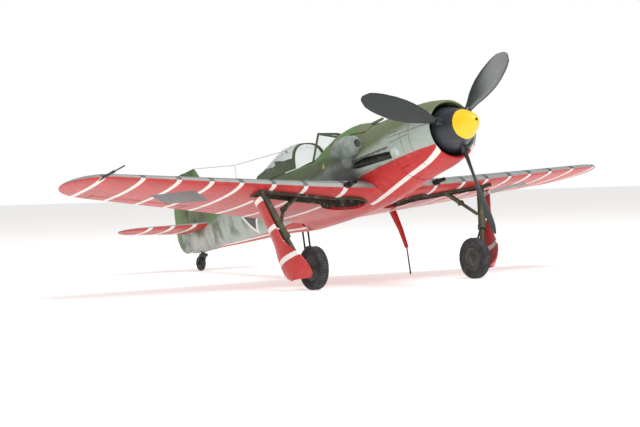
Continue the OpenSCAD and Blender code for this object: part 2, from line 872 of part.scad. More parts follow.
module tyre_ring(outer, inner, width) {
    r = width * 0.42;
    rotate_extrude($fn = 72)
        polygon(concat(
            [[inner * m, -width / 2 * 0.66 * m], [inner * m, width / 2 * 0.66 * m]],
            [for (a = [90:-15:0]) [(outer - r + r * cos(a)) * m, (width / 2 - r + r * sin(a)) * m]],
            [for (a = [0:-15:-90]) [(outer - r + r * cos(a)) * m, (-width / 2 + r + r * sin(a)) * m]]
        ));
}

module main_tyre(side) {
    color("#26282b")
        stance()
            wheel_axis([main_axle[0], side * main_axle[1], main_axle[2]])
                tyre_ring(tyre_r, 0.205, tyre_w);
}

module left_tyre() {
    main_tyre(1);
}

module right_tyre() {
    main_tyre(-1);
}

tail_w = 0.085;
fork_y = 0.07;

module tail_wheel_yoke() {
    color("#33302c")
        stance()
            union() {
                rod([swivel_s, 0, -0.28], [swivel_s, 0, -0.44], swivel_r);
                for (side = [1, -1])
                    union() {
                        rod([swivel_s + 0.01, side * (fork_y - 0.01), -0.42], [9.3, side * fork_y, -0.567], 0.42);
                        rod([9.3, side * (fork_y - 0.015), -0.567], [9.3, side * (fork_y + 0.025), -0.567], 0.8);
                    }
                rod([swivel_s, -fork_y - 0.01, -0.43], [swivel_s, fork_y + 0.01, -0.43], 0.75);
                rod([9.3, -fork_y, -0.567], [9.3, fork_y, -0.567], 0.35);
            }
}

module tail_wheel_hub() {
    color("gray")
        stance()
            wheel_axis(tail_axle)
                translate([0, 0, -tail_w / 2 * 0.9 * m])
                    difference() {
                        cylinder(h = tail_w * 0.9 * m, r = 0.08 * m);
                        translate([0, 0, -1])
                            cylinder(h = tail_w * m + 2, r = 0.35 + fit);
                    }
}

module tail_tyre() {
    color("#26282b")
        stance()
            wheel_axis(tail_axle)
                tyre_ring(tail_r, 0.08, tail_w);
}

// ---------------------------------------------------------------- tail

tail_span = 1.83;
tail_root = 0.06;
function tail_squeeze(a) = a < 1.45 ? 1 : max(0.15, sqrt(1 - ((a - 1.45) / (tail_span - 1.45)) ^ 2));
function tail_le(a) = 9.06 - (9.06 - (8.46 + 0.2 * a)) * tail_squeeze(a);
function tail_te(a) = 9.06 + (9.66 - 0.16 * a - 9.06) * tail_squeeze(a);
function tail_half(a, s) =
    let (c = tail_te(a) - tail_le(a), x = min(1, max(0, (s - tail_le(a)) / c)))
    0.095 * c * foil(x) + 0.008 * x;
tail_spans = [tail_root, 0.5, 0.9, 1.3, 1.5, 1.65, 1.76, tail_span];
function tail_nose(a) = tail_half(a, elevator_s);
elevator_in = 0.14;
elevator_out = 1.62;

module stabiliser(side) {
    n = 8;
    color("olive")
        stance()
            mirror([0, side > 0 ? 0 : 1, 0])
                difference() {
                    loft([for (a = tail_spans)
                        let (le = tail_le(a), c = tail_te(a) - le)
                        concat(
                            [for (i = [0:n]) let (s = le + c * (1 - cos(180 * i / n)) / 2)
                                at([s, a, elevator_z + tail_half(a, s)])],
                            [for (i = [n:-1:1]) let (s = le + c * (1 - cos(180 * i / n)) / 2)
                                at([s, a, elevator_z - tail_half(a, s)])]
                        )]);
                    bar(at([elevator_s, elevator_in - 0.02, elevator_z]),
                        at([elevator_s, elevator_out + 0.012, elevator_z]),
                        tail_nose(elevator_in) * m + gap, tail_nose(elevator_out) * m + gap);
                    side_cut([[elevator_s, -0.1], [9.9, -0.1], [9.9, 0.3], [elevator_s, 0.3]],
                        tail_root - 0.1, elevator_out + 0.012);
                    bar(at([elevator_s, 0, elevator_z]), at([elevator_s, elevator_out + 0.08, elevator_z]),
                        tube_r + fit, tube_r + fit);
                }
}

module left_stabiliser() {
    stabiliser(1);
}

module right_stabiliser() {
    stabiliser(-1);
}

module elevator(side) {
    color("olivedrab")
        stance()
            mirror([0, side > 0 ? 0 : 1, 0])
                difference() {
                    loft([for (a = [elevator_in, 0.5, 0.9, 1.3, 1.5, elevator_out])
                        let (r = tail_nose(a), te = tail_te(a), half = tail_half(a, te))
                        concat(
                            [for (t = nose_turns) at([elevator_s + r * cos(t), a, elevator_z + r * sin(t)])],
                            [at([te, a, elevator_z - half]), at([te, a, elevator_z + half])]
                        )]);
                    rod([elevator_s, 0, elevator_z], [elevator_s, elevator_out - 0.1, elevator_z], tube_r);
                }
}

module left_elevator() {
    elevator(1);
}

module right_elevator() {
    elevator(-1);
}

module elevator_torque_tube() {
    end = elevator_out - 0.1;
    color("silver")
        stance()
            rod([elevator_s, -end, elevator_z], [elevator_s, end, elevator_z], tube_r);
}

// Rudder outline: trailing edge at each height
rudder_te = [[-0.29, 9.82], [-0.22, 9.97], [-0.1, 10.09], [0.05, 10.16], [0.3, 10.185], [0.62, 10.19],
    [0.9, 10.14], [1.1, 10.05], [1.25, 9.94], [1.35, 9.8]];

module rudder() {
    color("olivedrab")
        stance()
            union() {
                difference() {
                    loft([for (z = [-0.29, -0.22, -0.1, 0.05, 0.3, 0.62, 0.9, 1.1, 1.25, 1.35])
                        let (te = curve(rudder_te, z), r = rudder_nose * (1.02 - 0.3 * max(z, 0)) * (z > 1.3 ? 0.6 : 1))
                        concat(
                            [for (t = nose_turns) at([hinge_s + r * cos(t), r * sin(t), z])],
                            [at([te, -0.008, z]), at([te, 0.008, z])]
                        )]);
                    for (z = lug_z)
                        place([hinge_s, 0, z - lug_half - 0.012])
                            translate([-0.95, -1.5, 0])
                                cube([3, 3, (2 * lug_half + 0.024) * m]);
                }
                for (z = lug_z)
                    place([hinge_s, 0, z - lug_half - 0.05])
                        cylinder(h = (2 * lug_half + 0.1) * m, r = pin_r);
            }
}

// ---------------------------------------------------------------- cockpit and canopy

hood_front = 4.72;
hood_tail = 6.3;
pane = 0.022;
hood_top = [[4.72, 0.8], [4.9, 0.835], [5.1, 0.855], [5.3, 0.848], [5.5, 0.812], [5.75, 0.738], [6.02, 0.65],
    [6.3, 0.608]];
hood_wide = [[4.72, 0.345], [5.26, 0.33], [5.7, 0.295], [6.02, 0.262], [6.3, 0.235]];
// A point of the hood: turn runs from -90 at the starboard rail over the top to 90 at the port rail
function hood_point(s, turn, inset) =
    let (
        foot = rail(s) + 0.018,
        w = curve(hood_wide, s) - inset,
        h = curve(hood_top, s) - foot - inset,
        c = cos(turn),
        q = sin(turn)
    )
    [s, w * sign(q) * pow(abs(q), 0.8), foot + h * pow(max(c, 0), 0.62)];

module hood_patch(stations, turns) {
    last = len(turns) - 1;
    loft([for (s = stations)
        concat(
            [for (a = turns) at(hood_point(s, a, 0))],
            [for (i = [last:-1:0]) at(hood_point(s, turns[i], pane))]
        )], strip = true);
}

arch_end = 4.79;
glass_end = 6.02;
rail_turn = 76;
glass_stations = [arch_end, 4.95, 5.1, 5.3, 5.5, 5.75, glass_end];

module canopy_frame() {
    color("darkolivegreen")
        stance()
            union() {
                hood_patch([hood_front, arch_end], [for (a = [-90:10:90]) a]);
                hood_patch([glass_end, 6.16, hood_tail], [for (a = [-90:10:90]) a]);
                hood_patch(glass_stations, [-90, -rail_turn]);
                hood_patch(glass_stations, [rail_turn, 90]);
            }
}

module canopy_glass() {
    color("azure", 0.4)
        stance()
            hood_patch(glass_stations, concat([-rail_turn], [for (a = [-70:10:70]) a], [rail_turn]));
}

// Windscreen corners: foot and head of the front pane, and the rear arch that meets the hood
screen_foot = [3.56, 0.13, 0.61];
screen_head = [4.06, 0.195, 0.795];
sill_front = [4.1, 0.35, 0.31];
post_r = 0.38;

module windscreen_frame() {
    arch_top = 0.195;
    color("darkolivegreen")
        stance()
            union() {
                for (side = [1, -1])
                    let (
                        foot = [screen_foot[0], side * screen_foot[1], screen_foot[2]],
                        head = [screen_head[0], side * screen_head[1], screen_head[2]],
                        sill = [sill_front[0], side * sill_front[1], sill_front[2]]
                    )
                    union() {
                        rod(foot, head, post_r);
                        rod(head, sill, post_r);
                        place(head)
                            sphere(post_r);
                        place(foot)
                            sphere(post_r);
                    }
                rod([screen_head[0], -arch_top, screen_head[2]], [screen_head[0], arch_top, screen_head[2]], post_r);
                rod([screen_foot[0], -screen_foot[1], screen_foot[2]], screen_foot, post_r);
            }
}

// A flat pane given by its corners, with a small thickness along a direction
module flat_pane(corners, through) {
    loft([[for (c = corners) at(c)], [for (c = corners) at(c + through)]]);
}

module windscreen_glass() {
    f = screen_foot;
    h = screen_head;
    color("azure", 0.4)
        stance()
            union() {
                flat_pane([[f[0] + 0.01, -f[1] + 0.02, f[2] + 0.01], [f[0] + 0.01, f[1] - 0.02, f[2] + 0.01],
                    [h[0] - 0.02, h[1] - 0.02, h[2] - 0.01], [h[0] - 0.02, -h[1] + 0.02, h[2] - 0.01]],
                    [0.006, 0, -0.018]);
                for (side = [1, -1])
                    flat_pane([[f[0] + 0.06, side * (f[1] + 0.018), f[2] - 0.0], [h[0] - 0.015, side * (h[1] + 0.005), h[2] - 0.03],
                        [sill_front[0] - 0.022, side * (sill_front[1] - 0.012), sill_front[2] + 0.03]],
                        [0, side * -0.014, 0]);
            }
}

module rear_deck() {
    color("olivedrab")
        stance()
            loft([for (s = [5.42, 5.7, 6, 6.33])
                let (w = curve([[5.4, 0.22], [5.7, 0.2], [6.33, 0.15]], s), top = curve([[5.42, 0.43], [5.7, 0.47], [6.33, 0.555]], s),
                    foot = rail(s) - 0.1)
                concat(
                    [for (a = [0:18:180]) at([s, w * cos(a), rail(s) - 0.01 + (top - rail(s)) * sin(a)])],
                    [at([s, -w, foot]), at([s, w, foot])]
                )]);
}

tub_front = 4.02;
tub_rear = 5.42;
tub_w = 0.36;
tub_floor = -0.3;

module cockpit_tub() {
    wall = 0.03;
    color("dimgray")
        stance()
            difference() {
                side_cut([[tub_front, 0.24], [tub_front, tub_floor], [tub_rear, tub_floor], [tub_rear, 0.26]],
                    -tub_w, tub_w);
                side_cut([[tub_front + wall, 0.5], [tub_front + wall, tub_floor + wall],
                    [tub_rear - wall, tub_floor + wall], [tub_rear - wall, 0.5]], -tub_w + wall, tub_w - wall);
            }
}

module pilot_seat() {
    color("#5a5d55")
        stance()
            union() {
                side_cut([[4.62, -0.27], [5.08, -0.27], [5.08, -0.02], [4.62, -0.06]], -0.19, 0.19);
                side_cut([[5.02, -0.02], [5.1, -0.04], [5.22, 0.3], [5.16, 0.32]], -0.19, 0.19);
                for (y = [-0.19, 0.165])
                    side_cut([[4.62, -0.07], [5.04, -0.03], [5.1, 0.16], [4.66, 0.03]], y, y + 0.025);
            }
}

module instrument_panel() {
    color("#303234")
        stance()
            union() {
                side_cut([[4.06, 0.06], [4.1, 0.06], [4.1, 0.34], [4.06, 0.34]], -0.27, 0.27);
                rod([4.09, 0, 0.3], [4.09, 0, 0.5], 0.5);
                side_cut([[3.98, 0.5], [4.12, 0.5], [4.12, 0.56], [3.98, 0.56]], -0.05, 0.05);
            }
}

module control_stick() {
    color("#202224")
        stance()
            union() {
                rod([4.42, 0, -0.27], [4.44, 0, 0.02], 0.3);
                rod([4.44, 0, 0.01], [4.42, 0, 0.12], 0.5);
            }
}

module headrest_armour() {
    color("#3a3d3c")
        stance()
            union() {
                side_cut([[5.68, 0.51], [5.72, 0.51], [5.76, 0.7], [5.72, 0.7]], -0.12, 0.12);
                rod([5.73, 0, 0.6], [6.12, 0, 0.615], 0.4);
            }
}

wire_r = 0.13;
wire_front = [5.5, 0, 0.845];
wire_kink = [7.42, 0, 1.02];
wire_fin = [9.16, 0, 1.345];

module antenna_wire() {
    color("#606468")
        stance()
            union() {
                rod(wire_front, wire_kink, wire_r);
                rod(wire_kink, wire_fin, wire_r);
                rod(wire_kink, [7.42, 0, 0.485], wire_r);
                place(wire_kink)
                    sphere(wire_r * 1.6);
            }
}

module ventral_mast() {
    y = 1.05;
    color("firebrick")
        stance()
            union() {
                loft([for (p = [[3.94, -0.64, 0.1, 0.03], [3.78, -1, 0.07, 0.024], [3.68, -1.33, 0.05, 0.02]])
                    [for (i = [0:9]) at([p[0] + p[2] * cos(i * 36), y + p[3] * sin(i * 36), p[1]])]]);
                place([3.68, y, -1.8])
                    cylinder(h = 0.49 * m, r = 0.28);
            }
}

module boarding_step() {
    low = -0.93;
    top = -0.3;
    color("#303234")
        stance()
            union() {
                for (s = step_s)
                    rod([s, step_y, top], [s, step_y, low], step_r);
                rod([step_s[0] - 0.02, step_y, low], [step_s[1] + 0.02, step_y, low], step_r);
            }
}

// ---------------------------------------------------------------- nodes

module propeller_blade_a() {
    propeller_blade(0);
}

module propeller_blade_b() {
    propeller_blade(1);
}

module propeller_blade_c() {
    propeller_blade(2);
}

fuselage_left();
fuselage_right();
cowl_ring();
cooling_flap_ring();
radiator_core();
gearbox_housing();
propeller_shaft();
spinner_cap();
spinner_base();
propeller_blade_a();
propeller_blade_b();
propeller_blade_c();
gun_cover();
supercharger_intake();
exhaust_left();
exhaust_right();
side_blister();
wing_lower();
left_wing_upper();
right_wing_upper();
left_aileron();
right_aileron();
left_flap();
right_flap();
wing_cannon_barrels();
pitot_tube();
left_well_liner();
right_well_liner();
left_gear_strut();
right_gear_strut();
left_gear_door();
right_gear_door();
torque_links();
side_braces();
left_wheel_hub();
right_wheel_hub();
left_tyre();
right_tyre();
tail_wheel_yoke();
tail_wheel_hub();
tail_tyre();
left_stabiliser();
right_stabiliser();
left_elevator();
right_elevator();
elevator_torque_tube();
rudder();
windscreen_frame();
windscreen_glass();
canopy_frame();
canopy_glass();
rear_deck();
cockpit_tub();
pilot_seat();
instrument_panel();
control_stick();
headrest_armour();
antenna_wire();
ventral_mast();
boarding_step();
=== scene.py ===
"""Looks for the display model of a single-seat propeller fighter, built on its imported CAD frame.

The aeroplane's own axes are used for paint and detail, in metres of the full-size machine:
s runs aft from the spinner tip, y to port and z above the thrust line.
"""

import json
import math

import bpy
from mathutils import Matrix, Vector


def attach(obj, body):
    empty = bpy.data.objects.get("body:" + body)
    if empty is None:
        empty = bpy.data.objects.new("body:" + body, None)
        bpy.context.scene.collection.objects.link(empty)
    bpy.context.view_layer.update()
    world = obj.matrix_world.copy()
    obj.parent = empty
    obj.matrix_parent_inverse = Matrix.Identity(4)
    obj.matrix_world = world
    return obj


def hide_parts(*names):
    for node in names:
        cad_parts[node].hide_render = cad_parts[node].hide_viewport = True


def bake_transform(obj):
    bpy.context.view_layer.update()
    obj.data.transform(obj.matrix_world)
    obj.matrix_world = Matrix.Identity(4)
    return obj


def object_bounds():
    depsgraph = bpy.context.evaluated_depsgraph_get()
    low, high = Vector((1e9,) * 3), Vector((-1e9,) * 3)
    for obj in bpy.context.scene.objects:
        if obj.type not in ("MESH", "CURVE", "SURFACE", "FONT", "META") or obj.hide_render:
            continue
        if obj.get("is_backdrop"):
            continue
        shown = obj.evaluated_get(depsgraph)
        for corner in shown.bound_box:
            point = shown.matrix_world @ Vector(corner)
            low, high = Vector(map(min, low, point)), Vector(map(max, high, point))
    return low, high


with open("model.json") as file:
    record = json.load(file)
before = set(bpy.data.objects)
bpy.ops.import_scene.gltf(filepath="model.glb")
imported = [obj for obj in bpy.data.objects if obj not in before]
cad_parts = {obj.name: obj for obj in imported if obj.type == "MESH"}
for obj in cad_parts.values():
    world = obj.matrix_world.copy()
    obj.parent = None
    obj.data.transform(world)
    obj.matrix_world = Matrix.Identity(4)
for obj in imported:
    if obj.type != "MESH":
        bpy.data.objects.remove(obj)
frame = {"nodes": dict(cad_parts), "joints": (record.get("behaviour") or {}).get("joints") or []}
NODES = frame["nodes"]
JOINTS = {j["name"]: j for j in frame["joints"]}
low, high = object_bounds()

# ---------------------------------------------------------------- aeroplane axes

AHEAD = Vector(JOINTS["propeller_spin"]["axis"]).normalized()
RISE = Vector((-AHEAD.z, 0, AHEAD.x))
PORT = Vector((0, 1, 0))
METRE = (high.y - low.y) / 10.5
TIP = Vector(JOINTS["propeller_spin"]["pos_m"]) + AHEAD * 0.5 * METRE


def row(s, y, z):
    """A full-size place in the aeroplane's axes, as a point of the model's frame."""
    return TIP - AHEAD * (s * METRE) + PORT * (y * METRE) + RISE * (z * METRE)


def paint(red, green, blue):
    """A display colour from 0 to 255 as linear light."""
    linear = []
    for c in (red, green, blue):
        linear.append(((c / 255 + 0.055) / 1.055) ** 2.4 if c > 10 else c / 3294.6)
    return (*linear, 1)


GREY = paint(166, 176, 168)
PALE = paint(190, 196, 188)
OLIVE = paint(112, 121, 86)
GREEN = paint(92, 132, 68)
DARK_GREEN = paint(74, 88, 54)
FRINGE = paint(146, 146, 96)
RED = paint(186, 24, 22)
WHITE = paint(226, 226, 220)
CHARCOAL = paint(52, 53, 53)
# Near-black for exhaust soot and dirt, also used as painted shade for the spinner's gun hole.
SOOT_AND_SHADE = paint(36, 40, 40)
STRIPE_Y = (0.90, 1.57, 2.12, 2.67, 3.16, 3.69, 4.26, 4.86)
TAIL_STRIPE_Y = (0.42, 0.86, 1.3)


# ---------------------------------------------------------------- shader sums


class Value:
    """A number inside a shader, which can be used in ordinary sums."""

    def __init__(self, tree, socket):
        self.tree, self.socket = tree, socket

    def math(self, operation, *others):
        node = self.tree.nodes.new("ShaderNodeMath")
        node.operation = operation
        for place, other in enumerate((self, *others)):
            if isinstance(other, Value):
                self.tree.links.new(other.socket, node.inputs[place])
            else:
                node.inputs[place].default_value = other
        return Value(self.tree, node.outputs[0])

    def __add__(self, other):
        return self.math("ADD", other)

    def __sub__(self, other):
        return self.math("SUBTRACT", other)

    def __mul__(self, other):
        return self.math("MULTIPLY", other)

    def size(self):
        return self.math("ABSOLUTE")

    def most(self, other):
        return self.math("MAXIMUM", other)

    def inverse(self):
        return self.math("MULTIPLY", -1.0) + 1.0

    def above(self, edge, soft=0.004):
        """1 where this is over the edge, 0 below, turning smoothly over twice soft."""
        node = self.tree.nodes.new("ShaderNodeMapRange")
        node.interpolation_type = "SMOOTHSTEP"
        shifted = self - edge
        self.tree.links.new(shifted.socket, node.inputs[0])
        node.inputs[1].default_value = -soft
        node.inputs[2].default_value = soft
        return Value(self.tree, node.outputs[0])

    def below(self, edge, soft=0.004):
        return self.above(edge, soft).inverse()

    def band(self, middle, half, soft=0.004):
        """1 within half of the middle."""
        return (self - middle).size().below(half, soft)

    def curve(self, points):
        """A run of straight pieces through [position, value] points."""
        total = None
        for (a, va), (b, vb) in zip(points, points[1:]):
            node = self.tree.nodes.new("ShaderNodeMapRange")
            self.tree.links.new(self.socket, node.inputs[0])
            for place, number in enumerate((a, b, 0.0, vb - va)):
                node.inputs[place + 1].default_value = number
            piece = Value(self.tree, node.outputs[0])
            total = piece + va if total is None else total + piece
        return total


class Finish:
    """A procedural material laid out in the aeroplane's axes."""

    def __init__(self, name, rough=0.5, metal=0.0, coat=0.0):
        self.material = bpy.data.materials.new(name)
        self.material.use_nodes = True
        self.tree = self.material.node_tree
        self.shader = self.tree.nodes["Principled BSDF"]
        self.shader.inputs["Roughness"].default_value = rough
        self.shader.inputs["Metallic"].default_value = metal
        self.shader.inputs["Coat Weight"].default_value = coat
        self.shader.inputs["Coat Roughness"].default_value = 0.35
        self.point = self.tree.nodes.new("ShaderNodeTexCoord").outputs["Object"]
        self.s = self.along(-AHEAD / METRE, TIP.dot(AHEAD) / METRE)
        self.y = self.along(PORT / METRE, 0.0)
        self.z = self.along(RISE / METRE, -TIP.dot(RISE) / METRE)
        self.side = self.y.size()
        node = self.tree.nodes.new("ShaderNodeCombineXYZ")
        for place, part in enumerate((self.s, self.y, self.z)):
            self.tree.links.new(part.socket, node.inputs[place])
        self.place = node.outputs[0]
        self.bump = None

    def along(self, direction, offset):
        node = self.tree.nodes.new("ShaderNodeVectorMath")
        node.operation = "DOT_PRODUCT"
        self.tree.links.new(self.point, node.inputs[0])
        node.inputs[1].default_value = direction
        return Value(self.tree, node.outputs["Value"]) + offset

    def noise(self, scale, detail=3.0, stretch=(1, 1, 1), shift=(0, 0, 0)):
        """Cloudy noise from 0 to 1, of that many lumps to a full-size metre."""
        mapping = self.tree.nodes.new("ShaderNodeMapping")
        mapping.inputs["Scale"].default_value = stretch
        mapping.inputs["Location"].default_value = shift
        self.tree.links.new(self.place, mapping.inputs["Vector"])
        node = self.tree.nodes.new("ShaderNodeTexNoise")
        node.inputs["Scale"].default_value = scale
        node.inputs["Detail"].default_value = detail
        self.tree.links.new(mapping.outputs[0], node.inputs["Vector"])
        return Value(self.tree, node.outputs["Fac"])

    def mix(self, a, b, amount):
        """Colour a turning into colour b."""
        node = self.tree.nodes.new("ShaderNodeMix")
        node.data_type = "RGBA"
        self.tree.links.new(amount.socket, node.inputs[0])
        for colour, socket in ((a, node.inputs[6]), (b, node.inputs[7])):
            if isinstance(colour, tuple):
                socket.default_value = colour
            else:
                self.tree.links.new(colour, socket)
        return node.outputs[2]

    def raised(self, height, strength=0.4, depth=0.0001):
        node = self.tree.nodes.new("ShaderNodeBump")
        node.inputs["Strength"].default_value = strength
        node.inputs["Distance"].default_value = depth
        self.tree.links.new(height.socket, node.inputs["Height"])
        if self.bump:
            self.tree.links.new(self.bump, node.inputs["Normal"])
        self.bump = node.outputs[0]
        self.tree.links.new(self.bump, self.shader.inputs["Normal"])

    def colour(self, colour):
        if isinstance(colour, tuple):
            self.shader.inputs["Base Color"].default_value = colour
        else:
            self.tree.links.new(colour, self.shader.inputs["Base Color"])
        return self.material

    def worn(self, base, dark=0.12, scale=9.0):
        """The base colour with faint dirt and fading."""
        fade = self.noise(scale, 4.0, shift=(3, 1, 7))
        base = self.mix(base, paint(60, 58, 52), fade.above(0.62, 0.2) * dark)
        return self.mix(base, paint(230, 228, 220), fade.below(0.34, 0.16) * (dark * 0.6))

    def roughen(self, low_rough, high_rough):
        value = self.noise(14.0, 2.0) * (high_rough - low_rough) + low_rough
        self.tree.links.new(value.socket, self.shader.inputs["Roughness"])


def stripes(across, middles, half):
    """1 within half of any of the middles."""
    total = None
    for middle in middles:
        band = across.band(middle, half)
        total = band if total is None else total.most(band)
    return total


def lines(cuts, half=0.007):
    """1 on thin panel lines. Each cut is (distance value, mask or None)."""
    total = None
    for distance, mask in cuts:
        line = distance.size().below(half, 0.004)
        if mask:
            line = line * mask
        total = line if total is None else total.most(line)
    return total


# ---------------------------------------------------------------- paint


def body_paint():
    f = Finish("body_finish", coat=0.15)
    f.roughen(0.42, 0.58)
    s, side, z = f.s, f.side, f.z
    ragged = (f.noise(2.2, 3.0) - 0.5) * 0.22 + (f.noise(9.0, 2.0) - 0.5) * 0.05
    edge = s.curve([(0.5, 0.24), (0.75, 0.18), (1.4, 0.1), (1.8, 0.03), (2.3, -0.02), (2.7, -0.03),
                    (3.4, -0.04), (4.3, -0.12), (5, 0.02), (6.2, 0.1), (8, 0.06), (9.5, 0.1)])
    height = z - edge + ragged * s.curve([(0.5, 0.5), (3, 0.7), (6, 1.6)])
    base = f.mix(GREY, f.mix(GREY, DARK_GREEN, f.noise(3.2, 3.0, (1, 1, 0.6), (4, 0, 2)).above(0.56, 0.08)),
                 s.above(4.6, 0.6) * z.above(-0.36, 0.14) * 0.75)
    base = f.mix(base, PALE, s.band(9.15, 0.26, 0.06) * z.band(-0.15, 0.13, 0.05) * 0.8)
    base = f.mix(base, FRINGE, height.band(0.05, 0.02, 0.05) * 0.45)
    patch_start = z.curve([(0.2, 3.05), (0.42, 2.62), (0.6, 2.78)])
    patch = s.above(patch_start + (f.noise(5.0, 2.0) - 0.5) * 0.12, 0.03)
    patch = patch * s.below(4.75, 0.1)
    low_edge = z.above(s.curve([(2.6, 0.2), (3.22, 0.21), (4.52, 0.28)]), 0.02)
    upper = f.mix(OLIVE, DARK_GREEN, s.above(2.9, 0.3) * s.below(6.5, 0.6) * 0.75)
    upper = f.mix(upper, GREEN, patch * low_edge)
    upper = f.mix(upper, GREEN, f.noise(1.3, 1.0, shift=(2, 0, 5)).above(0.55, 0.03) * s.above(5.2, 0.1))
    base = f.mix(base, upper, height.above(0.06, 0.07))
    base = f.mix(base, GREEN, s.above(9.98, 0.08) * 0.8)
    mottle = f.noise(3.5, 2.0, shift=(1, 1, 1)).above(0.52, 0.08)
    base = f.mix(base, DARK_GREEN, mottle * s.band(9.3, 0.5, 0.2) * z.above(-0.12, 0.1) * 0.85)
    red_edge = s.curve([(0.5, -0.235), (1, -0.245), (1.6, -0.265), (2.45, -0.3), (2.9, -0.42), (5, -0.56),
                        (6.2, -0.53), (7, -0.49), (8.1, -0.415), (8.8, -0.4), (9.1, -0.6)])
    red = z.below(red_edge + (f.noise(5.0, 2.0) - 0.5) * 0.02, 0.006)
    base = f.mix(base, RED, red)
    stripe = (side - s.curve([(0.5, 0.335), (1.17, 0.29), (2.65, 0.185), (5, 0.17), (8.4, 0.06)])).size()
    base = f.mix(base, WHITE, stripe.below(s.curve([(0.6, 0.036), (2.6, 0.036), (8, 0.016)]), 0.004) * red)
    cross = (s - 6.5).size() + (z + 0.06).size()
    base = f.mix(base, WHITE, cross.below(0.44, 0.006) * side.above(0.1))
    base = f.mix(base, CHARCOAL, cross.below(0.36, 0.006) * side.above(0.1))
    mark = ((s - 3.58).size() * 1.7 + (z - 0.1)).below(0.07, 0.004) * z.above(0.07, 0.004) * side.above(0.2)
    base = f.mix(base, paint(222, 190, 60), mark)
    smoke = s.above(2.5, 0.2) * (s + f.noise(3.0, 3.0) * 0.9).below(4.2, 0.7)
    smoke = smoke * z.below(0.02, 0.16) * z.above(-0.62, 0.1)
    base = f.mix(base, SOOT_AND_SHADE, smoke * 0.93)
    streak = s.band(2.1, 0.75, 0.25) * z.band(-0.27, 0.02, 0.03)
    base = f.mix(base, SOOT_AND_SHADE, streak * f.noise(8.0, 2.0).above(0.45, 0.15) * 0.5)
    hatch = z.band(-0.08, 0.17) * side.above(0.2)
    cuts = [(s - 1.02, None), (s - 1.22, hatch), (s - 1.5, None)]
    cuts += [(s - 2.9, z.below(0.25)), (s - 3.62, z.below(0.4))]
    cuts += [(s - frame_line, None) for frame_line in (5.3, 6.05, 6.9, 7.7, 8.5)]
    cuts += [(z - 0.09, s.band(1.0, 0.5)), (z - s.curve([(1.1, 0.03), (1.5, 0.0)]), s.band(1.26, 0.22)),
             (s - 9.02, z.above(-0.5))]
    line = lines(cuts)
    base = f.mix(base, paint(44, 46, 42), line * 0.55)
    f.raised(line.inverse(), 0.5, 0.00008)
    rivets = f.noise(60.0, 0.0)
    f.raised(rivets, 0.04, 0.00005)
    chips = f.noise(22.0, 2.0, shift=(9, 2, 4)).above(0.74, 0.01) * z.above(0.0)
    base = f.mix(base, PALE, chips * 0.7)
    return f.colour(f.worn(base, 0.1))


def upper_paint():
    """Wing and tail upper surfaces: two greens, grey along the leading edge."""
    f = Finish("upper_finish", coat=0.12)
    f.roughen(0.42, 0.58)
    s, side = f.s, f.side
    camo = (s - side * 0.9 + (f.noise(0.9, 2.0) - 0.5) * 2.0).math("PINGPONG", 1.3).above(0.65, 0.03)
    base = f.mix(OLIVE, GREEN, camo)
    lead = side.curve([(0, 2.30), (1.3, 2.50), (4.7, 2.80), (5.25, 3.4)])
    stripe = stripes(side, STRIPE_Y, 0.042)
    edge_grey = f.mix(paint(146, 148, 146), paint(82, 84, 84), stripe)
    base = f.mix(edge_grey, base, (s - lead + (f.noise(3.0, 2.0) - 0.5) * 0.1).above(0.26, 0.06))
    tail_grey = s.above(8.0) * (s - side * 0.2).below(8.56, 0.03)
    base = f.mix(base, paint(158, 162, 160), tail_grey)
    line = lines([(s - 3.3, None), (s - 4.2 + side * 0.1, None), (side - 1.9, None), (side - 2.9, None)])
    base = f.mix(base, paint(44, 46, 42), line * 0.4)
    return f.colour(f.worn(base, 0.12))


def under_paint():
    """Red undersides with white stripes."""
    f = Finish("under_finish", coat=0.25)
    f.roughen(0.36, 0.52)
    s, side = f.s, f.side
    base = f.mix(RED, paint(162, 34, 30), f.noise(4.0, 3.0).above(0.52, 0.15) * 0.7)
    stripe = stripes(side + (f.noise(2.0, 1.0) - 0.5) * 0.02, STRIPE_Y, 0.038)
    base = f.mix(base, WHITE, stripe * s.below(7.0))
    belly = (side - s.curve([(2.1, 0.22), (2.75, 0.185)])).size().below(0.034, 0.004) * s.below(2.78)
    base = f.mix(base, WHITE, belly)
    base = f.mix(base, WHITE, stripes(side, TAIL_STRIPE_Y, 0.045) * s.above(7.0))
    mark = ((s - 3.5).size() + (side - 3.3).size()).below(0.52, 0.006)
    base = f.mix(base, CHARCOAL, mark)
    aileron = side.curve([(2.9, 4.17), (4.7, 3.94)])
    flap_line = side.curve([(0.6, 4.33), (2.9, 4.04)])
    wing = s.below(7.0)
    line = lines([(s - aileron, side.band(3.8, 0.9) * wing), (s - flap_line, side.band(1.8, 1.1) * wing),
                  (s - 3.25, side.above(2.4) * side.below(3.0)), (side - 2.92, s.above(3.7)),
                  (side - 4.64, s.above(3.6)), (s - 3.75 + side * 0.06, side.band(2.6, 0.5)),
                  (side - 2.4, s.band(3.5, 0.25)), (s - 9.02, None)])
    base = f.mix(base, paint(70, 20, 18), line * 0.7)
    f.raised(line.inverse(), 0.5, 0.00008)
    dirt = side.band(1.2, 0.35, 0.3) * s.above(3.1, 0.5) * s.below(5.0) * f.noise(3.0, 3.0).above(0.4, 0.25)
    base = f.mix(base, SOOT_AND_SHADE, dirt * 0.35)
    return f.colour(f.worn(base, 0.12))


def door_paint():
    f = Finish("door_finish", coat=0.25)
    f.roughen(0.34, 0.48)
    tilt = f.z - (f.s - 2.7) * -0.22
    base = f.mix(RED, paint(168, 28, 24), f.noise(5.0, 2.0))
    bands = tilt.band(-0.57, 0.036).most(tilt.band(-1.05, 0.036)).most(tilt.band(-1.58, 0.04))
    base = f.mix(base, WHITE, bands)
    return f.colour(f.worn(base, 0.12))


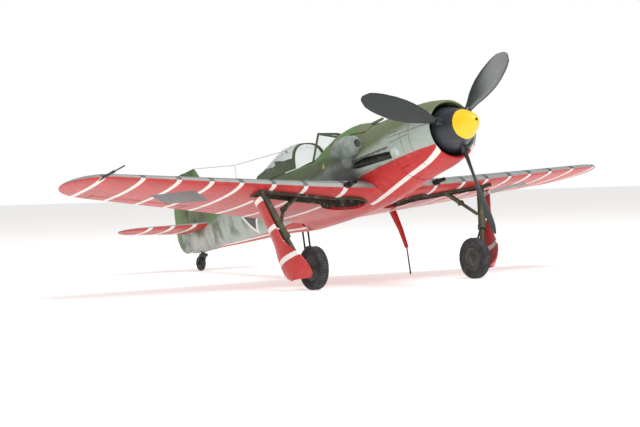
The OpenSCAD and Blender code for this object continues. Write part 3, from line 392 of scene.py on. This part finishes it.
def plain(name, colour, rough=0.5, metal=0.0, coat=0.0, dirt=0.12, scale=9.0, second=None):
    f = Finish(name, rough, metal, coat)
    darker = (*(c * 0.8 for c in colour[:3]), 1)
    base = f.mix(colour, second or darker, f.noise(scale, 3.0).above(0.5, 0.2))
    f.raised(f.noise(40.0, 2.0), 0.08, 0.00008)
    return f.colour(f.worn(base, dirt))


def clear_plastic():
    f = Finish("clear_finish", 0.04)
    tree = f.tree
    clear = tree.nodes.new("ShaderNodeBsdfTransparent")
    clear.inputs[0].default_value = (0.93, 0.95, 0.94, 1)
    gloss = tree.nodes.new("ShaderNodeBsdfGlossy")
    gloss.inputs["Roughness"].default_value = 0.04
    facing = tree.nodes.new("ShaderNodeLayerWeight")
    facing.inputs["Blend"].default_value = 0.5
    smear = f.noise(6.0, 3.0).above(0.5, 0.3) * 0.03
    share = Value(tree, facing.outputs["Facing"]).math("POWER", 4.0) * 0.6 + 0.03 + smear
    mix = tree.nodes.new("ShaderNodeMixShader")
    tree.links.new(share.socket, mix.inputs[0])
    tree.links.new(clear.outputs[0], mix.inputs[1])
    tree.links.new(gloss.outputs[0], mix.inputs[2])
    tree.links.new(mix.outputs[0], tree.nodes["Material Output"].inputs["Surface"])
    return f.material


def spinner_paint():
    """Blue-black spinner with a yellow nose whose edge is hand-cut, and painted shade for the gun hole at
    its tip.
    """
    f = Finish("spinner_finish", 0.42, coat=0.2)
    edge = (f.noise(12.0, 3.0) - 0.5) * 0.02 + 0.3
    base = f.mix(paint(240, 200, 8), paint(34, 38, 48), f.s.above(edge, 0.003))
    # Painted shade: a near-black disc at the nose tip stands in for the shaded inside of the gun hole.
    hole_shade = (f.y.math("POWER", 2.0) + f.z.math("POWER", 2.0)).below(0.0006, 0.0001) * f.s.below(0.05)
    return f.colour(f.worn(f.mix(base, SOOT_AND_SHADE, hole_shade), 0.06))


def mast_paint():
    """Red mast with a dark lower end."""
    f = Finish("mast_finish", 0.5)
    return f.colour(f.worn(f.mix(paint(30, 30, 30), RED, f.z.above(-1.5, 0.02)), 0.08))


def tyre_rubber():
    f = Finish("tyre_finish", 0.72)
    base = f.mix(paint(38, 40, 42), paint(62, 64, 64), f.noise(8.0, 3.0).above(0.55, 0.15))
    f.raised(f.noise(70.0, 2.0), 0.15, 0.0001)
    return f.colour(base)


BODY = body_paint()
UPPER = upper_paint()
UNDER = under_paint()
DOOR = door_paint()
SPINNER = spinner_paint()
TYRE = tyre_rubber()
CLEAR = clear_plastic()
BLADE = plain("blade_finish", paint(30, 38, 37), 0.38, coat=0.1, dirt=0.03)
HUB = plain("hub_finish", paint(66, 70, 69), 0.5, 0.1)
FRAME = plain("frame_finish", paint(74, 88, 56), 0.5)
GEAR = plain("gear_finish", paint(72, 70, 48), 0.55, dirt=0.3)
WELL = plain("well_finish", paint(58, 52, 36), 0.65, dirt=0.4)
INTAKE = plain("intake_finish", paint(150, 158, 152), 0.5, dirt=0.35, scale=5.0, second=paint(118, 128, 124))
BLISTER = plain("blister_finish", paint(188, 202, 196), 0.45)
DARK = plain("dark_finish", paint(24, 25, 26), 0.45, 0.2, dirt=0.05)
EXHAUST = plain("exhaust_finish", paint(20, 20, 21), 0.45, 0.4, second=paint(34, 33, 32))
COCKPIT = plain("cockpit_finish", paint(104, 108, 104), 0.6)
STEEL = plain("steel_finish", paint(150, 150, 148), 0.3, 0.9)
WIRE = plain("wire_finish", paint(176, 182, 160), 0.5)
RADIATOR = plain("radiator_finish", paint(16, 17, 18), 0.6, 0.3, dirt=0.02)
MAST = mast_paint()
YOKE = plain("yoke_finish", paint(52, 50, 42), 0.5)

FINISHES = {
    BODY: ("fuselage_left", "fuselage_right", "cowl_ring", "cooling_flap_ring", "gun_cover", "rudder"),
    UPPER: ("left_wing_upper", "right_wing_upper"),
    UNDER: ("wing_lower", "left_flap", "right_flap"),
    DOOR: ("left_gear_door", "right_gear_door"),
    SPINNER: ("spinner_cap", "spinner_base"),
    BLADE: ("propeller_blade_a", "propeller_blade_b", "propeller_blade_c"),
    TYRE: ("left_tyre", "right_tyre", "tail_tyre"),
    HUB: ("left_wheel_hub", "right_wheel_hub", "tail_wheel_hub"),
    CLEAR: ("canopy_glass", "windscreen_glass"),
    FRAME: ("canopy_frame", "windscreen_frame"),
    GEAR: ("left_gear_strut", "right_gear_strut", "side_braces", "torque_links"),
    WELL: ("left_well_liner", "right_well_liner"),
    INTAKE: ("supercharger_intake",),
    BLISTER: ("side_blister",),
    DARK: ("wing_cannon_barrels", "pitot_tube", "gearbox_housing", "instrument_panel", "control_stick",
           "headrest_armour", "boarding_step"),
    EXHAUST: ("exhaust_left", "exhaust_right"),
    COCKPIT: ("cockpit_tub", "pilot_seat", "rear_deck"),
    STEEL: ("propeller_shaft", "elevator_torque_tube"),
    WIRE: ("antenna_wire",),
    RADIATOR: ("radiator_core",),
    MAST: ("ventral_mast",),
    YOKE: ("tail_wheel_yoke",),
}
for material, names in FINISHES.items():
    for name in names:
        NODES[name].data.materials.clear()
        NODES[name].data.materials.append(material)


def two_sided(name, top, bottom):
    """Paints faces that look down with one finish and the rest with another."""
    mesh = NODES[name].data
    mesh.materials.clear()
    mesh.materials.append(top)
    mesh.materials.append(bottom)
    for face in mesh.polygons:
        face.material_index = 1 if face.normal.dot(RISE) < -0.02 else 0


for part in ("stabiliser", "elevator", "aileron"):
    two_sided("left_" + part, UPPER, UNDER)
    two_sided("right_" + part, UPPER, UNDER)


def smooth(obj, angle=32.0):
    """Rounds off the shading of a moulded piece, keeping its real edges."""
    if "custom_normal" in obj.data.attributes:
        obj.data.attributes.remove(obj.data.attributes["custom_normal"])
    for face in obj.data.polygons:
        face.use_smooth = True
    weld = obj.modifiers.new("weld", "WELD")
    weld.merge_threshold = 0.000004
    split = obj.modifiers.new("split", "EDGE_SPLIT")
    split.split_angle = math.radians(angle)


for obj in NODES.values():
    smooth(obj)


# ---------------------------------------------------------------- pieces made here


def piece(name, points, faces, material, slot_name, angle=32.0):
    """A mesh piece given in full-size places of the aeroplane."""
    mesh = bpy.data.meshes.new(name)
    mesh.from_pydata([row(*p) for p in points], [], faces)
    mesh.materials.append(material)
    obj = bpy.data.objects.new(name, mesh)
    bpy.context.scene.collection.objects.link(obj)
    smooth(obj, angle)
    return obj


def ring_faces(rings, count):
    """Faces between rings of points, each of that many points."""
    faces = []
    for r in range(rings - 1):
        for i in range(count):
            j = (i + 1) % count
            faces.append((r * count + i, r * count + j, (r + 1) * count + j, (r + 1) * count + i))
    return faces


def treaded_tyre(name, centre, side):
    """A main tyre with cross ribs round its tread."""
    width = 0.17
    steps, ribs = 288, 48
    half_profile = [(0.205, 0.33), (0.262, 0.44), (0.3, 0.49), (0.322, 0.47), (0.336, 0.4), (0.3445, 0.25)]
    profile = [(r, -across) for r, across in half_profile] + [(0.345, 0.0)] + half_profile[::-1]
    points = []
    for i in range(steps):
        turn = 2 * math.pi * i / steps
        groove = (i % (steps // ribs)) < 2
        for r, across in profile:
            cut = 0.011 if groove and r > 0.32 else 0.0
            if abs(across) < 0.02:
                cut = 0.006
            ahead, up = (r - cut) * math.cos(turn), (r - cut) * math.sin(turn)
            points.append((centre[0] - ahead, centre[1] + across * width, centre[2] + up))
    count = len(profile)
    faces = []
    for i in range(steps):
        here, following = i * count, ((i + 1) % steps) * count
        for k in range(count):
            after = (k + 1) % count
            faces.append((here + k, here + after, following + after, following + k))
    obj = piece(name, points, faces, TYRE, "tyre_black", 24)
    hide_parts(side + "_tyre")
    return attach(obj, side + "_wheel")


MAIN = (2.56, 1.6, -1.742)
treaded_tyre("left_tyre_tread", MAIN, "left")
treaded_tyre("right_tyre_tread", (MAIN[0], -MAIN[1], MAIN[2]), "right")


def tube(name, path, radius, material, slot_name, sides=10):
    """A round bar along full-size points. radius is in full-size metres, one or one for each point."""
    radii = radius if isinstance(radius, (list, tuple)) else [radius] * len(path)
    points = []
    for n, p in enumerate(path):
        a, b = Vector(path[max(n - 1, 0)]), Vector(path[min(n + 1, len(path) - 1)])
        d = (b - a).normalized()
        u = d.cross(Vector((0.3, 1, 0.2))).normalized()
        v = d.cross(u)
        for k in range(sides):
            t = 2 * math.pi * k / sides
            points.append(tuple(Vector(p) + (u * math.cos(t) + v * math.sin(t)) * radii[n]))
    faces = ring_faces(len(path), sides)
    faces.append(tuple(range(sides))[::-1])
    faces.append(tuple(len(points) - sides + k for k in range(sides)))
    return piece(name, points, faces, material, slot_name)


kink = (7.42, 0, 1.02)
front = (5.5, 0, 0.845)
rear = (9.16, 0, 1.345)


def straight(a, b, steps):
    """Points from a to b, both included."""
    return [tuple(p + (q - p) * i / steps for p, q in zip(a, b)) for i in range(steps + 1)]


ahead_run = straight(front, kink, 24)
aft_run = straight(kink, rear, 12)[1:]
wire = tube("antenna_line", ahead_run + aft_run, 0.0055, WIRE, "wire_grey", 8)
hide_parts("antenna_wire")
row(*kink)
row(*front)
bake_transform(wire)
lead_path = [kink, (7.43, 0, 0.75), (7.44, 0, 0.485)]
drop = tube("antenna_lead", lead_path, 0.0045, WIRE, "wire_grey", 8)
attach(drop, "fuselage")

def exhaust_shield(name, side):
    """A thin bright strip along the top of an exhaust row, with a wavy lower edge."""
    count = 48
    points = []
    for i in range(count + 1):
        s = 1.56 + 1.06 * i / count
        out = 0.5635 + 0.012 * math.sin(math.pi * i / count)
        wave = 0.008 * math.cos(2 * math.pi * 6 * i / count)
        low_edge = -0.062 + wave
        for y, z in ((out, -0.03), (out + 0.012, -0.03), (out + 0.02, low_edge), (out + 0.008, low_edge)):
            points.append((s, side * y, z))
    faces = ring_faces(count + 1, 4)
    faces += [(3, 2, 1, 0), tuple(4 * count + k for k in range(4))]
    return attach(piece(name, points, faces, STEEL, "steel"), "fuselage")


exhaust_shield("exhaust_shield_port", 1)
exhaust_shield("exhaust_shield_starboard", -1)
pulley_path = [(5.48, 0, 0.805), (5.49, 0, 0.826), (5.5, 0, 0.842)]
pulley = tube("hood_pulley", pulley_path, [0.018, 0.02, 0.012], DARK, "frame_green", 12)
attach(pulley, "canopy")

# ---------------------------------------------------------------- stage, light and camera

floor_mesh = bpy.data.meshes.new("floor")
floor_mesh.from_pydata([(-6, -6, 0), (6, -6, 0), (6, 6, 0), (-6, 6, 0)], [], [(0, 1, 2, 3)])
floor = bpy.data.objects.new("floor", floor_mesh)
bpy.context.scene.collection.objects.link(floor)
table = bpy.data.materials.new("floor_finish")
table.use_nodes = True
table_shader = table.node_tree.nodes["Principled BSDF"].inputs
table_shader["Base Color"].default_value = (0.9, 0.885, 0.87, 1)
table_shader["Roughness"].default_value = 0.8
table_shader["Emission Color"].default_value = (1, 0.99, 0.98, 1)
table_shader["Emission Strength"].default_value = 0.45
floor_mesh.materials.append(table)
floor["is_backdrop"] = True

world = bpy.data.worlds.new("studio")
bpy.context.scene.world = world
world.use_nodes = True
sky = world.node_tree
ambient = sky.nodes["Background"]
ambient.inputs[0].default_value = (1, 1, 1, 1)
ambient.inputs[1].default_value = 0.42
backdrop = sky.nodes.new("ShaderNodeBackground")
backdrop.inputs[0].default_value = (1, 1, 1, 1)
backdrop.inputs[1].default_value = 1.0
seen = sky.nodes.new("ShaderNodeLightPath")
choose = sky.nodes.new("ShaderNodeMixShader")
sky.links.new(seen.outputs["Is Camera Ray"], choose.inputs[0])
sky.links.new(ambient.outputs[0], choose.inputs[1])
sky.links.new(backdrop.outputs[0], choose.inputs[2])
sky.links.new(choose.outputs[0], sky.nodes["World Output"].inputs["Surface"])


def soft_light(name, place, target, size, power, colour=(1, 1, 1)):
    data = bpy.data.lights.new(name, "AREA")
    data.shape = "RECTANGLE"
    data.size, data.size_y = size
    data.energy = power
    data.color = colour
    light = bpy.data.objects.new(name, data)
    bpy.context.scene.collection.objects.link(light)
    light.location = place
    light.rotation_mode = "QUATERNION"
    light.rotation_quaternion = (Vector(target) - Vector(place)).to_track_quat("-Z", "Y")


soft_light("key", (0.35, 0.1, 0.75), (0, 0, 0.03), (0.5, 0.4), 4.6)
soft_light("fill", (0.7, -0.7, 0.35), (0, 0, 0.03), (0.7, 0.4), 2.4)

camera_data = bpy.data.cameras.new("camera")
camera_data.sensor_width = 36
camera_data.lens = 82.62
camera_data.clip_start, camera_data.clip_end = 0.01, 50
camera = bpy.data.objects.new("camera", camera_data)
bpy.context.scene.collection.objects.link(camera)
view = Vector((-0.844646, 0.535075, -0.016402)).normalized()
level = view.cross(Vector((0, 0, 1))).normalized()
upright = level.cross(view)
roll = math.radians(-1.623)
camera_place = TIP + Vector((17.3268, -13.8016, -0.9885)) * METRE
right = level * math.cos(roll) + upright * math.sin(roll)
up = right.cross(view)
camera.matrix_world = Matrix.Translation(camera_place) @ Matrix(
    ((right.x, up.x, -view.x), (right.y, up.y, -view.y), (right.z, up.z, -view.z))).to_4x4()
bpy.context.scene.camera = camera
bpy.context.scene.view_settings.view_transform = "Standard"

low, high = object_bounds()
